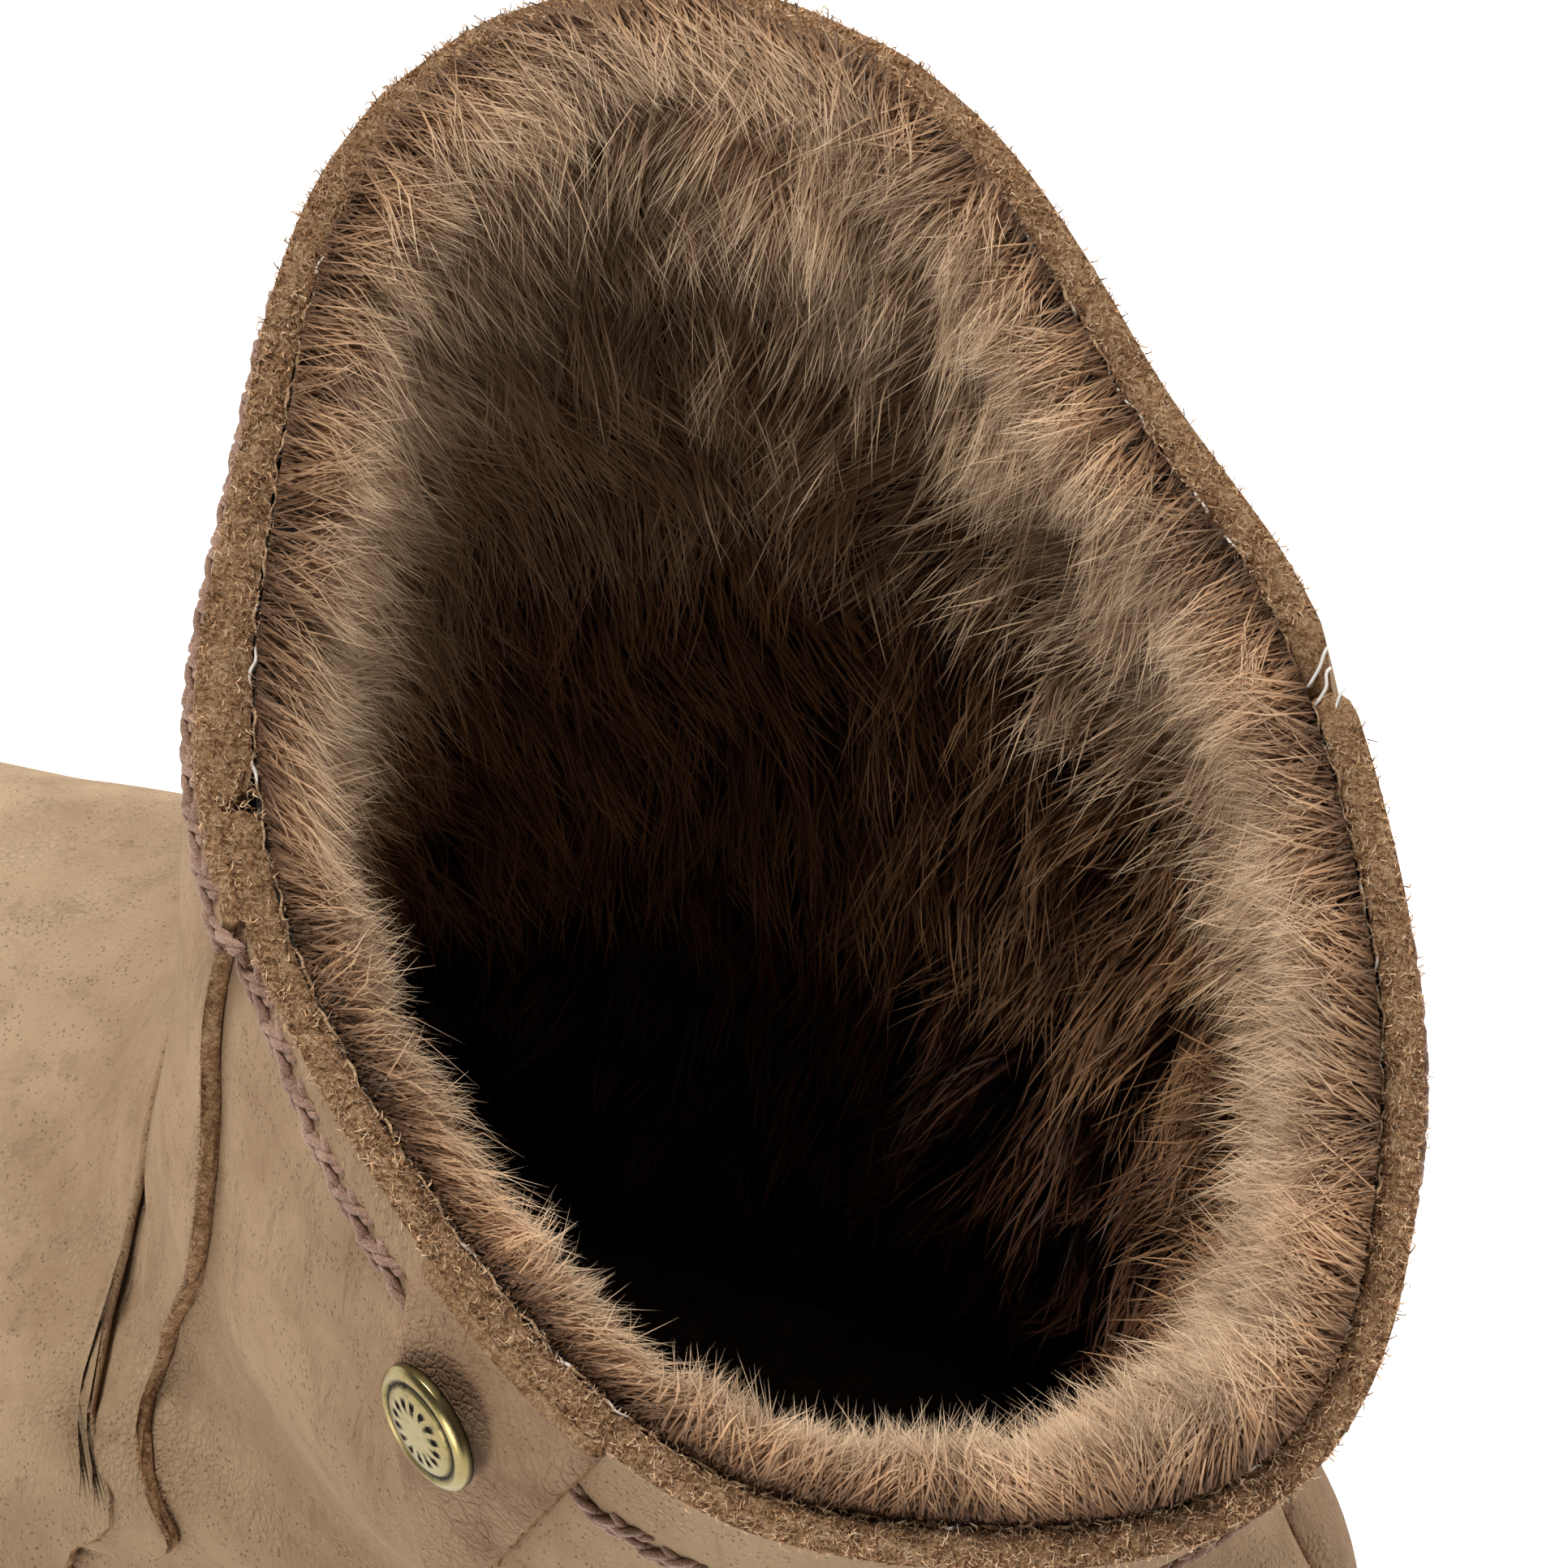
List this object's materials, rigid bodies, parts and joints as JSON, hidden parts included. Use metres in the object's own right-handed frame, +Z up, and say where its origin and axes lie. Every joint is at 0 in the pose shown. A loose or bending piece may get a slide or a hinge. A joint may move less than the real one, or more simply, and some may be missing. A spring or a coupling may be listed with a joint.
{
  "type": "ankle boot",
  "caption": "Short fur-lined sheepskin boot for the left foot, with a slack open collar, a buttoned tab on the outer side and a ribbed rubber sole.",
  "frame": {"origin": "centre of the boot's bounding box, on the floor under the sole", "axes": "+X to the tip of the toe, +Y to the outer side of the left foot, +Z up to the collar"},
  "size_m": [0.2556, 0.13, 0.201],
  "materials": {
    "nubuck": "matt nubuck with a fine nap",
    "fleece": "dense long fur",
    "insole": "short fleece",
    "rubber": "matt light rubber",
    "tab_leather": "pebbled leather, half matt",
    "brass": "antiqued, with dark recesses"
  },
  "bodies": {
    "root": {"upper": "nubuck", "fleece_lining": "fleece", "insole": "insole", "outsole": "rubber", "tab": "tab_leather", "button": "brass"}
  },
  "joints": []
}
